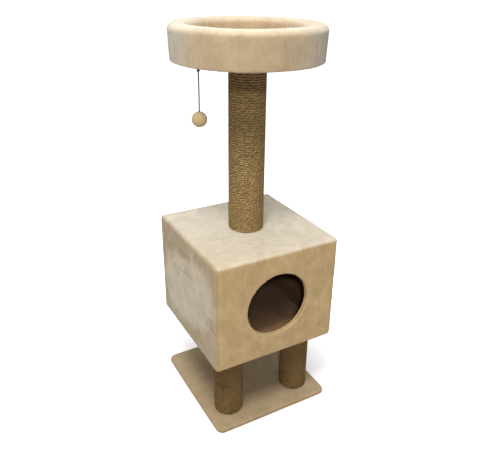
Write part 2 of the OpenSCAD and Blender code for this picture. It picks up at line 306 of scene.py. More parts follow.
# Base. A flat fibreboard under short beige plush, which is glued over the top, pulled
# round the edge and stapled under it as a hem. The board's corners are rounded.
PLUSH_SKIN = 2.4 * MM
BASE_CORNER_R = 20 * MM
BASE_EDGE_R = 6 * MM
BASE_FOOT_R = 3 * MM
BASE_HEM_W = 30 * MM
BASE_GRID = 4.5 * MM
PILE_DARK = (0.34, 0.228, 0.10)
PILE_LIGHT = (0.56, 0.405, 0.215)
# The pale pair below is a painted sheen and painted light, mixed over the pile's own colour by
# which way a face looks and how it is seen.
PAINTED_SHEEN_DARK = (0.46, 0.40, 0.30)
PAINTED_SHEEN_LIGHT = (0.71, 0.655, 0.55)
PILE_BUMP = 0.8 * MM
# How much more painted sheen shows where the nap lies lighter.
PAINTED_SHEEN_IN_LIGHTER_NAP = 0.55
SHARP_EDGE = math.radians(55)


def pile_group():
    """The look of brushed plush: broad patches where the nap lies another way, strokes
    left by a hand across it, and fine clumps of pile. Colour is the pile's own colour,
    and the other colour is a painted sheen: the same pile paled as if its tips caught
    the light at a glance or from above."""
    group = bpy.data.node_groups.new("plush_pile", "ShaderNodeTree")
    for name, kind, value in (
        ("Dark", "Color", (*PILE_DARK, 1)), ("Light", "Color", (*PILE_LIGHT, 1)),
        ("Painted Sheen Dark", "Color", (*PAINTED_SHEEN_DARK, 1)), ("Painted Sheen Light", "Color", (*PAINTED_SHEEN_LIGHT, 1)),
        ("Patch Size", "Float", 0.07), ("Patch Strength", "Float", 0.5),
        ("Extra Light", "Float", 0.0),
    ):
        socket = group.interface.new_socket(
            name, in_out="INPUT", socket_type="NodeSocket" + kind
        )
        socket.default_value = value
    group.interface.new_socket("Color", in_out="OUTPUT", socket_type="NodeSocketColor")
    group.interface.new_socket("Painted Sheen", in_out="OUTPUT", socket_type="NodeSocketColor")
    group.interface.new_socket("Height", in_out="OUTPUT", socket_type="NodeSocketFloat")
    given = group.nodes.new("NodeGroupInput").outputs
    result = group.nodes.new("NodeGroupOutput").inputs
    place = add(group, "ShaderNodeTexCoord").outputs["Object"]
    scale = math_node(group, "DIVIDE", 1.0, given["Patch Size"])
    patch = add(
        group, "ShaderNodeTexNoise",
        {"Vector": place, "Scale": scale, "Detail": 4.0, "Roughness": 0.6, "Distortion": 1.2},
    ).outputs["Fac"]
    patch = span(group, patch, 0.36, 0.64)
    strokes = span(group, object_noise(group, 45, 3, 1.5, (1, 1, 0.45)), 0.35, 0.68)
    clumps = object_noise(group, 420, 2)
    fibres = object_noise(group, 1500, 1)
    lay = math_node(group, "MULTIPLY", patch, 0.6)
    lay = math_node(group, "ADD", lay, math_node(group, "MULTIPLY", strokes, 0.4))
    lay = math_node(group, "SUBTRACT", lay, 0.5)
    lay = math_node(group, "MULTIPLY", lay, given["Patch Strength"])
    fine = math_node(group, "MULTIPLY", math_node(group, "SUBTRACT", clumps, 0.5), 0.7)
    total = math_node(group, "ADD", math_node(group, "ADD", lay, fine), 0.5)
    total = math_node(group, "ADD", total, given["Extra Light"])
    for dark, light, out in (("Dark", "Light", "Color"), ("Painted Sheen Dark", "Painted Sheen Light", "Painted Sheen")):
        mix = add(
            group, "ShaderNodeMix", {"Factor": total, 6: given[dark], 7: given[light]},
            data_type="RGBA",
        )
        group.links.new(mix.outputs[2], result[out])
    height = math_node(group, "MULTIPLY", clumps, 0.7)
    height = math_node(group, "ADD", height, math_node(group, "MULTIPLY", fibres, 0.3))
    group.links.new(height, result["Height"])
    return group


PILE = pile_group()


def painted_sheen_by_side(top, left, right, above=0.0, beyond=0.0):
    """How much painted sheen and painted light pale each side of a box, the top, the left and the
    right each by its own share.
    Only what is above one height, or beyond one distance to the side, is counted."""
    def mask(tree):
        place = add(tree, "ShaderNodeTexCoord").outputs
        normal = add(tree, "ShaderNodeSeparateXYZ", {0: place["Normal"]}).outputs
        spot = add(tree, "ShaderNodeSeparateXYZ", {0: place["Object"]}).outputs
        high = math_node(tree, "GREATER_THAN", spot["Z"], above)
        wide = math_node(tree, "GREATER_THAN", math_node(tree, "ABSOLUTE", spot["X"]), beyond)
        on_top = math_node(tree, "MULTIPLY", span(tree, normal["Z"], 0.1, 0.6), top)
        # On top, less of the painted sheen shows towards the front left corner.
        corner = math_node(tree, "ADD", math_node(tree, "MULTIPLY", spot["X"], 0.5), spot["Y"])
        corner = math_node(tree, "MULTIPLY", span(tree, corner, 0.02, -0.26), 0.35)
        on_top = math_node(tree, "MULTIPLY", on_top, math_node(tree, "SUBTRACT", 1.0, corner))
        on_left = math_node(tree, "MULTIPLY", span(tree, normal["X"], -0.5, -0.97), left)
        on_right = math_node(tree, "MULTIPLY", span(tree, normal["X"], 0.5, 0.97), right)
        sides = math_node(tree, "MULTIPLY", math_node(tree, "MAXIMUM", on_left, on_right), wide)
        return math_node(tree, "MAXIMUM", math_node(tree, "MULTIPLY", on_top, high), sides)
    return mask


def painted_sheen_by_glance(strength, top=0.0):
    """Painted sheen where the pile is seen at a glance, and painted light on what faces upwards."""
    def mask(tree):
        aslant = add(tree, "ShaderNodeLayerWeight", {"Blend": 0.5}).outputs["Facing"]
        aslant = math_node(tree, "MULTIPLY", span(tree, aslant, 0.16, 0.7), strength)
        normal = add(tree, "ShaderNodeTexCoord").outputs["Normal"]
        up = add(tree, "ShaderNodeSeparateXYZ", {0: normal}).outputs["Z"]
        up = math_node(tree, "MULTIPLY", span(tree, up, 0.2, 0.9), top)
        return math_node(tree, "MAXIMUM", aslant, up)
    return mask


def plush_finish(name, painted_sheen_mask, extra_light=None, **values):
    """Beige plush with its own patches. Two masks of the surface are given: one says where
    a painted sheen and painted light pale the colour, and extra_light where the nap lies
    lighter or darker. More painted sheen shows where it lies lighter."""
    made, tree, shader = new_finish(
        name, Roughness=0.95, Sheen_Weight=0.1, Sheen_Roughness=0.5, Specular_IOR_Level=0.1,
    )
    pile = add(tree, "ShaderNodeGroup", node_tree=PILE)
    for key, value in values.items():
        pile.inputs[key.replace("_", " ")].default_value = value
    shown = painted_sheen_mask(tree)
    if extra_light:
        light = extra_light(tree)
        tree.links.new(light, pile.inputs["Extra Light"])
        shown = math_node(tree, "ADD", shown, math_node(tree, "MULTIPLY", light, PAINTED_SHEEN_IN_LIGHTER_NAP))
    seen = add(
        tree, "ShaderNodeMix",
        {"Factor": shown, 6: pile.outputs["Color"], 7: pile.outputs["Painted Sheen"]},
        data_type="RGBA",
    )
    tree.links.new(seen.outputs[2], shader.inputs["Base Color"])
    tree.links.new(bump(tree, pile.outputs["Height"], PILE_BUMP), shader.inputs["Normal"])
    return made


def stops(low, high, edge, step):
    """Places of grid lines from low to high, closer together where an edge is rounded."""
    near = [edge * (1 - math.cos(math.pi / 2 * k / 5)) for k in range(5)]
    inner = max(1, round((high - low - 2 * edge) / step))
    flat = [low + edge + (high - low - 2 * edge) * k / inner for k in range(inner + 1)]
    return [low + n for n in near] + flat + [high - n for n in reversed(near)]


def round_box(low, high, plan_r, top_r, foot_r, lines, keep=lambda face: True):
    """The skin of a box on a fine grid, with round upright edges and round top and foot
    edges. keep says which faces stay, by their middle."""
    centre, half = (low + high) / 2, (high - low) / 2

    def place(x, y, z):
        ax, ay = abs(x - centre.x), abs(y - centre.y)
        inset = min(half.x - ax, half.y - ay)
        dx, dy = ax - (half.x - plan_r), ay - (half.y - plan_r)
        if dx > 0 and dy > 0:
            out = Vector((dx, dy)).normalized()
            reach = max(dx, dy)
            ax, ay = half.x - plan_r + out.x * reach, half.y - plan_r + out.y * reach
        else:
            out = Vector((1, 0)) if half.x - ax < half.y - ay else Vector((0, 1))
        for radius, drop, way in ((top_r, high.z - z, -1), (foot_r, z - low.z, 1)):
            if inset < radius and drop < radius:
                bend = Vector((radius - inset, radius - drop)).normalized() * radius
                shift = radius - bend.x - inset
                ax, ay = ax - out.x * shift, ay - out.y * shift
                z = (high.z if way < 0 else low.z) + way * (radius - bend.y)
                break
        return Vector((
            centre.x + math.copysign(ax, x - centre.x),
            centre.y + math.copysign(ay, y - centre.y), z,
        ))

    xs, ys, zs = lines
    mesh, made = bmesh.new(), {}

    def vert(*key):
        if key not in made:
            made[key] = mesh.verts.new(place(xs[key[0]], ys[key[1]], zs[key[2]]))
        return made[key]

    def sheet(count_a, count_b, corner):
        for a in range(count_a - 1):
            for b in range(count_b - 1):
                face = [corner(a, b), corner(a + 1, b), corner(a + 1, b + 1), corner(a, b + 1)]
                spots = [(xs[i], ys[j], zs[k]) for i, j, k in face]
                if keep(Vector([sum(v) / 4 for v in zip(*spots)])):
                    mesh.faces.new([vert(*key) for key in face])

    nx, ny, nz = len(xs), len(ys), len(zs)
    sheet(nx, ny, lambda a, b: (a, b, nz - 1))
    sheet(ny, nx, lambda a, b: (b, a, 0))
    sheet(nx, nz, lambda a, b: (a, 0, b))
    sheet(nz, nx, lambda a, b: (b, ny - 1, a))
    sheet(nz, ny, lambda a, b: (0, b, a))
    sheet(ny, nz, lambda a, b: (nx - 1, a, b))
    return mesh


def ruffle(mesh, waves, clumps, seed=0.0):
    """Moves the skin a little along its normals: long soft waves and small clumps of pile."""
    mesh.normal_update()
    offset = Vector((seed, seed * 2, seed * 3))
    moves = []
    for v in mesh.verts:
        slow = noise.noise((v.co + offset) * 14) + 0.5 * noise.noise((v.co + offset) * 34)
        quick = noise.noise((v.co + offset) * 160)
        moves.append(v.normal * (waves * slow + clumps * quick))
    for v, move in zip(mesh.verts, moves):
        v.co += move


def baked(piece):
    """Applies what is on the piece and clears its modifiers."""
    held = bpy.context.evaluated_depsgraph_get()
    plain = bpy.data.meshes.new_from_object(piece.evaluated_get(held))
    piece.modifiers.clear()
    piece.data = plain


def skin_piece(name, mesh, thickness, material, slot, body, *stands_for):
    """A skin given its thickness inwards, so that it is a closed shell."""
    piece = as_piece(name, mesh, material, slot, body)
    solid = piece.modifiers.new("thickness", "SOLIDIFY")
    solid.thickness = thickness
    solid.offset = -1
    baked(piece)
    piece.data.set_sharp_from_angle(angle=SHARP_EDGE)
    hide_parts(*stands_for)
    return piece


base_low, base_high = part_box("base_cover")
base_lines = (
    stops(base_low.x, base_high.x, BASE_CORNER_R, BASE_GRID),
    stops(base_low.y, base_high.y, BASE_CORNER_R, BASE_GRID),
    [base_low.z + t for t in (0, 0.4 * MM, 1.2 * MM, 2.2 * MM, 3 * MM, 5 * MM)]
    + [base_high.z - t for t in (6 * MM, 4.6 * MM, 3 * MM, 1.6 * MM, 0.5 * MM, 0)],
)


def on_base(spot):
    under_middle = (
        abs(spot.x) < base_high.x - BASE_HEM_W and abs(spot.y) < base_high.y - BASE_HEM_W
    )
    return not (under_middle and spot.z < base_low.z + 0.1 * MM)


base_mesh = round_box(
    base_low, base_high, BASE_CORNER_R, BASE_EDGE_R, BASE_FOOT_R, base_lines, on_base
)
ruffle(base_mesh, 0.35 * MM, 0.2 * MM, 1.0)
for v in base_mesh.verts:
    v.co.z = max(v.co.z, base_low.z)
# The base's plush is painted darker and warmer than the rest, as painted shade: it lies lowest and
# furthest from the lamps. A little painted sheen pales its top and sides.
BASE_PLUSH = plush_finish(
    "base_plush", painted_sheen_by_side(0.25, 0.1, 0.1), Patch_Size=0.09, Patch_Strength=0.45,
    Dark=(0.26, 0.168, 0.073, 1), Light=(0.45, 0.32, 0.16, 1),
)
skin_piece(
    "base_plush_skin", base_mesh, 0.9 * MM, BASE_PLUSH, "plush", "tree", "base_cover"
)


def board_finish():
    """Raw fibreboard: dull brown, with fine flecks of fibre and broad soft mottling."""
    made, tree, shader = new_finish("raw_board", Roughness=0.85, Specular_IOR_Level=0.2)
    flecks = span(tree, object_noise(tree, 700, 4, 0.5), 0.3, 0.75)
    broad = span(tree, object_noise(tree, 18, 3), 0.3, 0.7)
    total = math_node(tree, "ADD", math_node(tree, "MULTIPLY", flecks, 0.6),
                      math_node(tree, "MULTIPLY", broad, 0.4))
    colour = shade(tree, total, (0.10, 0.052, 0.026), (0.23, 0.13, 0.068))
    tree.links.new(colour, shader.inputs["Base Color"])
    tree.links.new(bump(tree, flecks, 0.1 * MM), shader.inputs["Normal"])
    return made


def finish_nodes(material, *names):
    for name in names:
        node = frame["nodes"][name]
        node.data.materials.clear()
        node.data.materials.append(material)


RAW_BOARD = board_finish()
finish_nodes(RAW_BOARD, "base_board")

# Posts. Each is a wound cardboard tube with a wooden plug in each end, and 6 mm
# three-strand rope wound tightly round it and glued, from the foot to the head.
ROPE_R = 3.15 * MM
ROPE_PITCH = 6.2 * MM
ROPE_LAY = 21 * MM
ROPE_SIDES = 12
ROPE_STEP = 2.6 * MM
ROPE_STRANDS = 3
LOBE_MIDDLE, LOBE_SWING = 0.90, 0.14
ROPE_ROUGH = 0.9 * MM
HAIRS_PER_M = 3500
HAIR_L, HAIR_ROOT_R, HAIR_TIP_R = 4 * MM, 0.12 * MM, 0.02 * MM
POSTS = ("leg_left", "leg_right", "leg_rear", "post")


def rope_finish(name, dark, light, crease_shade_colour):
    """Natural fibre: three strands with painted shade in the grooves between them, and
    pale and dark fibres that run along each strand."""
    made, tree, shader = new_finish(name, Roughness=0.9, Specular_IOR_Level=0.2)
    along, around = place_on_cord(tree)
    strand = math_node(tree, "MULTIPLY", around, ROPE_STRANDS * 2 * math.pi)
    groove_shade_mask = span(tree, math_node(tree, "COSINE", strand), -1.0, 0.5)
    line = add(tree, "ShaderNodeCombineXYZ", {
        "X": math_node(tree, "MULTIPLY", along, 140.0),
        "Y": math_node(tree, "MULTIPLY", around, 34.0),
    }).outputs[0]
    fibre = add(tree, "ShaderNodeTexNoise", {"Vector": line, "Scale": 1.0, "Detail": 3.0})
    fibre = span(tree, fibre.outputs["Fac"], 0.34, 0.68)
    length = add(tree, "ShaderNodeCombineXYZ", {"X": math_node(tree, "MULTIPLY", along, 9.0)})
    stretch = add(tree, "ShaderNodeTexNoise", {"Vector": length.outputs[0], "Scale": 1.0})
    bundle = span(tree, object_noise(tree, 190, 2), 0.38, 0.62)
    tone = math_node(tree, "MULTIPLY", fibre, 0.35)
    tone = math_node(tree, "ADD", tone, math_node(tree, "MULTIPLY", bundle, 0.4))
    tone = math_node(tree, "ADD", tone, math_node(tree, "MULTIPLY", stretch.outputs["Fac"], 0.25))
    colour = shade(tree, tone, dark, light)
    # Painted shade fills the grooves between the strands.
    deep = add(tree, "ShaderNodeMix", {"Factor": groove_shade_mask, 7: colour}, data_type="RGBA")
    deep.inputs[6].default_value = (*crease_shade_colour, 1)
    tree.links.new(deep.outputs[2], shader.inputs["Base Color"])
    tree.links.new(bump(tree, fibre, 0.3 * MM), shader.inputs["Normal"])
    return made


POST_ROPE = rope_finish(
    "post_rope", (0.16, 0.093, 0.032), (0.87, 0.60, 0.255), (0.03, 0.015, 0.005)
)
# The legs wear the same rope as the post, painted darker as painted shade, low between the base and
# the house.
SHADED_LEG_ROPE = rope_finish(
    "leg_rope", (0.095, 0.053, 0.019), (0.5, 0.31, 0.12), (0.025, 0.012, 0.004)
)


def geometry_tree(name, *given):
    """An empty Geometry Nodes tree with one geometry output and the given inputs."""
    tree = bpy.data.node_groups.new(name, "GeometryNodeTree")
    tree.interface.new_socket("Geometry", in_out="OUTPUT", socket_type="NodeSocketGeometry")
    for label, kind in given:
        tree.interface.new_socket(label, in_out="INPUT", socket_type="NodeSocket" + kind)
    inside = tree.nodes.new("NodeGroupInput").outputs
    outside = tree.nodes.new("NodeGroupOutput").inputs
    return tree, inside, outside


def wander(tree, place, scale, reach, detail=2.0):
    """A small shift that differs from spot to spot, to and fro by half of reach."""
    way = add(tree, "ShaderNodeTexNoise", {"Vector": place, "Scale": scale, "Detail": detail})
    way = add(tree, "ShaderNodeVectorMath", {0: way.outputs["Color"], 1: (0.5, 0.5, 0.5)},
              operation="SUBTRACT").outputs[0]
    return add(tree, "ShaderNodeVectorMath", {0: way, "Scale": reach}, operation="SCALE").outputs[0]


def rope_coil_tree():
    """A helix of laid rope: a spiral line, tilted as the strands turn, swept by a
    three-lobed section, with short loose fibres standing out of it."""
    tree, given, result = geometry_tree(
        "wound_rope_coil", ("Coil Radius", "Float"), ("Height", "Float"), ("Foot", "Vector"),
        ("Rope Radius", "Float"), ("Pitch", "Float"), ("Lay", "Float"),
        ("Steps per Turn", "Int"), ("Hairs", "Int"), ("Seed", "Int"), ("Material", "Material"),
    )

    def calc(operation, a, b=0.0):
        return math_node(tree, operation, a, b)

    rise = calc("SUBTRACT", given["Height"], calc("MULTIPLY", given["Rope Radius"], 2.0))
    turns = calc("DIVIDE", rise, given["Pitch"])
    line = add(tree, "GeometryNodeCurveSpiral", {
        "Resolution": given["Steps per Turn"], "Rotations": turns,
        "Start Radius": given["Coil Radius"], "End Radius": given["Coil Radius"],
        "Height": rise,
    }).outputs[0]
    lift = add(tree, "ShaderNodeCombineXYZ", {"Z": given["Rope Radius"]}).outputs[0]
    foot = add(tree, "ShaderNodeVectorMath", {0: given["Foot"], 1: lift}).outputs[0]
    line = add(tree, "GeometryNodeTransform", {"Geometry": line, "Translation": foot}).outputs[0]
    line = add(tree, "GeometryNodeSetCurveNormal", {"Curve": line}, mode="Z_UP").outputs[0]
    length = add(tree, "GeometryNodeSplineParameter").outputs["Length"]
    drift = add(tree, "ShaderNodeTexNoise", {
        "W": calc("ADD", calc("MULTIPLY", length, 9.0), given["Seed"]), "Scale": 1.0,
    }, noise_dimensions="1D").outputs["Fac"]
    twist = calc("ADD", calc("DIVIDE", length, given["Lay"]), calc("MULTIPLY", drift, 3.0))
    tilt = calc("MULTIPLY", twist, -2 * math.pi)
    line = add(tree, "GeometryNodeSetCurveTilt", {"Curve": line, "Tilt": tilt}).outputs[0]
    line = add(
        tree, "GeometryNodeStoreNamedAttribute",
        {"Geometry": line, "Name": "along", "Value": length}, data_type="FLOAT",
    ).outputs[0]
    section = add(
        tree, "GeometryNodeCurvePrimitiveCircle",
        {"Resolution": ROPE_SIDES, "Radius": given["Rope Radius"]},
    ).outputs[0]
    index = add(tree, "GeometryNodeInputIndex").outputs[0]
    turn = calc("MULTIPLY", index, ROPE_STRANDS * 2 * math.pi / ROPE_SIDES)
    lobe = calc("ADD", calc("MULTIPLY", calc("COSINE", turn), LOBE_SWING), LOBE_MIDDLE)
    spot = add(tree, "GeometryNodeInputPosition").outputs[0]
    lobed = add(tree, "ShaderNodeVectorMath", {0: spot, "Scale": lobe}, operation="SCALE")
    section = add(
        tree, "GeometryNodeSetPosition", {"Geometry": section, "Position": lobed.outputs[0]}
    ).outputs[0]
    section = add(
        tree, "GeometryNodeStoreNamedAttribute",
        {"Geometry": section, "Name": "around", "Value": calc("DIVIDE", index, ROPE_SIDES)},
        data_type="FLOAT",
    ).outputs[0]
    rope = add(tree, "GeometryNodeCurveToMesh", {
        "Curve": line, "Profile Curve": section, "Fill Caps": True,
    }).outputs[0]
    rough = wander(tree, spot, 260, ROPE_ROUGH)
    rope = add(
        tree, "GeometryNodeSetPosition", {"Geometry": rope, "Offset": rough}
    ).outputs[0]
    rope = add(tree, "GeometryNodeSetShadeSmooth", {"Geometry": rope}).outputs[0]
    spots = add(tree, "GeometryNodeMeshToPoints", {"Mesh": rope}).outputs[0]
    picked = add(
        tree, "FunctionNodeRandomValue", {"Probability": 1.0, "Seed": given["Seed"]},
        data_type="BOOLEAN",
    )
    share = calc("DIVIDE", given["Hairs"], calc("MULTIPLY", given["Steps per Turn"],
                                                calc("MULTIPLY", turns, ROPE_SIDES)))
    tree.links.new(share, picked.inputs["Probability"])
    hair = add(tree, "GeometryNodeMeshCone", {
        "Vertices": 3, "Radius Top": HAIR_TIP_R, "Radius Bottom": HAIR_ROOT_R, "Depth": HAIR_L,
    }).outputs[0]
    way = add(tree, "FunctionNodeRandomValue", {
        "Min": (-math.pi, -math.pi, -math.pi), "Max": (math.pi, math.pi, math.pi),
        "Seed": given["Seed"],
    }, data_type="FLOAT_VECTOR").outputs[0]
    hairs = add(tree, "GeometryNodeInstanceOnPoints", {
        "Points": spots, "Selection": picked.outputs[3], "Instance": hair, "Rotation": way,
    }).outputs[0]
    both = tree.nodes.new("GeometryNodeJoinGeometry")
    tree.links.new(hairs, both.inputs[0])
    tree.links.new(rope, both.inputs[0])
    whole = add(
        tree, "GeometryNodeRealizeInstances", {"Geometry": both.outputs[0]}
    ).outputs[0]
    done = add(tree, "GeometryNodeSetMaterial", {
        "Geometry": whole, "Material": given["Material"],
    }).outputs[0]
    tree.links.new(done, result[0])
    return tree


def grown(name, tree, **values):
    """The mesh that a Geometry Nodes tree makes with these values, as a plain object."""
    piece = bpy.data.objects.new(name, bpy.data.meshes.new(name))
    bpy.context.scene.collection.objects.link(piece)
    maker = piece.modifiers.new("maker", "NODES")
    maker.node_group = tree
    sockets = {s.name: s.identifier for s in tree.interface.items_tree if s.in_out == "INPUT"}
    for key, value in values.items():
        maker[sockets[key.replace("_", " ")]] = value
    baked(piece)
    return piece


ROPE_COIL = rope_coil_tree()


def wind_rope(name, node_name, material, seed):
    low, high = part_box(node_name)
    coil_r = (high.x - low.x) / 2 - ROPE_R
    foot = ((low.x + high.x) / 2, (low.y + high.y) / 2, low.z)
    rope = grown(
        name, ROPE_COIL, Coil_Radius=coil_r, Height=high.z - low.z, Foot=foot,
        Rope_Radius=ROPE_R, Pitch=ROPE_PITCH, Lay=ROPE_LAY,
        Steps_per_Turn=round(2 * math.pi * coil_r / ROPE_STEP),
        Hairs=round(HAIRS_PER_M * (high.z - low.z)), Seed=seed, Material=material,
    )
    set_piece(rope, "sisal_rope", "tree", node_name)


for seed, post in enumerate(POSTS, 1):
    material = POST_ROPE if post == "post" else SHADED_LEG_ROPE
    wind_rope(post + "_rope_coil", post + "_rope", material, seed)


def plain_finish(name, dark, light, grain, stretch=(1, 1, 1), **constants):
    made, tree, shader = new_finish(name, **constants)
    streak = span(tree, object_noise(tree, grain, 3, 0.3, stretch), 0.3, 0.7)
    tree.links.new(shade(tree, streak, dark, light), shader.inputs["Base Color"])
    tree.links.new(bump(tree, streak, 0.05 * MM), shader.inputs["Normal"])
    return made


CARD = plain_finish(
    "tube_card", (0.34, 0.22, 0.12), (0.46, 0.32, 0.19), 60, (1, 1, 4), Roughness=0.8
)
PLUG_WOOD = plain_finish(
    "plug_wood", (0.42, 0.27, 0.13), (0.62, 0.45, 0.26), 25, (6, 1, 1), Roughness=0.65
)
BRASS = plain_finish(
    "insert_brass", (0.55, 0.38, 0.15), (0.75, 0.58, 0.28), 90, Roughness=0.3, Metallic=1.0
)
ZINC = plain_finish(
    "zinc_steel", (0.42, 0.42, 0.43), (0.62, 0.62, 0.63), 120, Roughness=0.35, Metallic=1.0
)
for post in POSTS:
    finish_nodes(CARD, post + "_tube")
    finish_nodes(PLUG_WOOD, post + "_foot_plug", post + "_head_plug")
    finish_nodes(BRASS, post + "_foot_insert", post + "_head_insert")
    finish_nodes(ZINC, post + "_foot_bolt", post + "_head_bolt")

# House. Six fibreboards screwed into a box. The walls wear one wrap of plush, turned under
# the floor and into the round entrance; the roof's plush folds down over the wrap's edge.
HOUSE_EDGE_R = 10 * MM
HOUSE_FOOT_R = 8.5 * MM
PLUSH_PUFF = Vector((1.5, 1.5, 1.5)) * MM
HOUSE_GRID = 4 * MM
HOUSE_HEM_W = 22 * MM
ROOF_FOLD = 15 * MM
ENTRANCE_BLOCK = 120 * MM
ENTRANCE_CUT = 72 * MM
ENTRANCE_LIP = 4 * MM
LINING_DEPTH = 14.5 * MM
ENTRANCE_R = 91 * MM
PATCH_Z = 0.366
PATCH_HALF_L, PATCH_HALF_H = 0.155, 0.104
PATCH_SLOPE = 0.2
PATCH_SQUARENESS = 2.4
LEFT_WALL_FROM, LEFT_WALL_TO = -0.172, -0.178
house_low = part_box("house_wrap")[0] - PLUSH_PUFF
house_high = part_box("roof_cover")[1] + PLUSH_PUFF
fold_z = house_high.z - ROOF_FOLD
opening = next(o for o in frame["record"]["physics"]["openings"] if o["name"] == "entrance")
entrance = (Vector(opening["box_m"][0]) + Vector(opening["box_m"][1])) / 2


def through(low, high, marks, edge, step):
    """Grid lines that are sure to pass through the marks."""
    ends = [low + edge] + sorted(m for m in marks if low + edge < m < high - edge) + [high - edge]
    lines = stops(low, high, edge, step)[:5]
    for a, b in zip(ends, ends[1:]):
        count = max(1, round((b - a) / step))
        lines += [a + (b - a) * k / count for k in range(count)]
    return lines + [high - edge] + stops(low, high, edge, step)[-5:]


def block_marks(middle_of):
    return [middle_of + s * m for s in (-1, 1) for m in (ENTRANCE_CUT, ENTRANCE_BLOCK)]


house_lines = (
    through(house_low.x, house_high.x, block_marks(entrance.x), HOUSE_EDGE_R, HOUSE_GRID),
    through(house_low.y, house_high.y, [], HOUSE_EDGE_R, HOUSE_GRID),
    through(
        house_low.z, house_high.z, block_marks(entrance.z) + [fold_z], HOUSE_EDGE_R, HOUSE_GRID
    ),
)


def off_entrance(spot):
    """How far a spot on the front is from the middle of the entrance, measured squarely."""
    return max(abs(spot.x - entrance.x), abs(spot.z - entrance.z))


def on_house(spot):
    in_entrance = spot.y < house_low.y + MM and off_entrance(spot) < ENTRANCE_CUT
    under = spot.z < house_low.z + 0.1 * MM and (
        max(abs(spot.x), abs(spot.y)) < house_high.x - HOUSE_HEM_W
    )
    return not in_entrance and not under


wrap = round_box(
    house_low, house_high, HOUSE_EDGE_R, HOUSE_EDGE_R, HOUSE_FOOT_R, house_lines, on_house
)
# The square hole left in the grid is drawn out to a round one, fading out to the block.
for v in wrap.verts:
    away = Vector((v.co.x - entrance.x, v.co.z - entrance.z))
    square = off_entrance(v.co)
    if v.co.y < house_low.y + 0.1 * MM and square < ENTRANCE_BLOCK - 1e-6:
        fade = (square - ENTRANCE_CUT) / (ENTRANCE_BLOCK - ENTRANCE_CUT)
        fade = fade * fade * (3 - 2 * fade)
        mouth = ENTRANCE_R + ENTRANCE_LIP + (square - ENTRANCE_CUT) * 0.6
        round_spot = away.normalized() * mouth
        spot = round_spot.lerp(away, fade)
        v.co.x, v.co.z = entrance.x + spot.x, entrance.z + spot.y
ruffle(wrap, 0.7 * MM, 0.2 * MM, 2.0)

# From the edge of that hole the plush turns in through a rounded lip, then runs straight
# back along the cut board. Its edge is a little ragged.
loop = [
    e for e in wrap.edges
    if e.is_boundary and e.verts[0].co.y < house_low.y + ENTRANCE_LIP
    and off_entrance(e.verts[0].co) < ENTRANCE_R + 3 * ENTRANCE_LIP
    and house_low.z + HOUSE_HEM_W < e.verts[0].co.z < fold_z
]
bends = [math.radians(a) for a in (20, 40, 60, 80, 90)]
profile = [(ENTRANCE_LIP * (1 - math.sin(a)), ENTRANCE_LIP * (1 - math.cos(a))) for a in bends]
profile += [(0.0, ENTRANCE_LIP + (LINING_DEPTH - ENTRANCE_LIP) * k / 4) for k in range(1, 5)]
for out, deep in profile:
    drawn = bmesh.ops.extrude_edge_only(wrap, edges=loop)["geom"]
    loop = [g for g in drawn if isinstance(g, bmesh.types.BMEdge) and g.is_boundary]
    for v in (g for g in drawn if isinstance(g, bmesh.types.BMVert)):
        away = Vector((v.co.x - entrance.x, v.co.z - entrance.z)).normalized()
        around = Vector((away.x, away.y, deep * 20))
        ragged = 1.3 * MM * noise.noise(around * 16) + 0.8 * MM * noise.noise(around * 34)
        reach = ENTRANCE_R + out + ragged
        v.co = Vector(
            (entrance.x + away.x * reach, house_low.y + deep, entrance.z + away.y * reach)
        )
bmesh.ops.recalc_face_normals(wrap, faces=wrap.faces)


def cut_off(mesh, wanted):
    """The faces that wanted picks by their middle, taken out of the mesh as one of their own."""
    mesh.faces.ensure_lookup_table()
    other = mesh.copy()
    for part, drop in ((mesh, True), (other, False)):
        gone = [f for f in part.faces if wanted(f.calc_center_median()) == drop]
        bmesh.ops.delete(part, geom=gone, context="FACES")
    return other


roof = cut_off(wrap, lambda spot: spot.z > fold_z - 0.5 * MM)


def lighter_side(tree):
    """Where the nap on the left wall is brushed the other way: a wide rounded patch,
    which falls towards the back."""
    place = add(tree, "ShaderNodeTexCoord").outputs["Object"]
    stray = wander(tree, place, 22, 0.05, 3.0)
    spot = add(tree, "ShaderNodeVectorMath", {0: place, 1: stray}).outputs[0]
    parts = add(tree, "ShaderNodeSeparateXYZ", {0: spot}).outputs
    flat_x = add(tree, "ShaderNodeSeparateXYZ", {0: place}).outputs["X"]
    slope = math_node(tree, "MULTIPLY", parts["Y"], PATCH_SLOPE)
    upward = math_node(tree, "SUBTRACT", math_node(tree, "ADD", parts["Z"], slope), PATCH_Z)
    shares = []
    for way, half in ((parts["Y"], PATCH_HALF_L), (upward, PATCH_HALF_H)):
        share = math_node(tree, "ABSOLUTE", math_node(tree, "DIVIDE", way, half))
        shares.append(math_node(tree, "POWER", share, PATCH_SQUARENESS))
    far = math_node(tree, "SQRT", math_node(tree, "ADD", *shares))
    inside = span(tree, far, 1.22, 0.84)
    on_left = span(tree, flat_x, LEFT_WALL_FROM, LEFT_WALL_TO)
    swipes = span(tree, object_noise(tree, 24, 2, 0.8, (1, 0.5, 1.7)), 0.58, 0.68)
    light = math_node(tree, "MULTIPLY", inside, 0.5)
    light = math_node(tree, "SUBTRACT", light, math_node(tree, "MULTIPLY", swipes, 0.3))
    light = math_node(tree, "SUBTRACT", light, 0.4)
    return math_node(tree, "MULTIPLY", light, on_left)


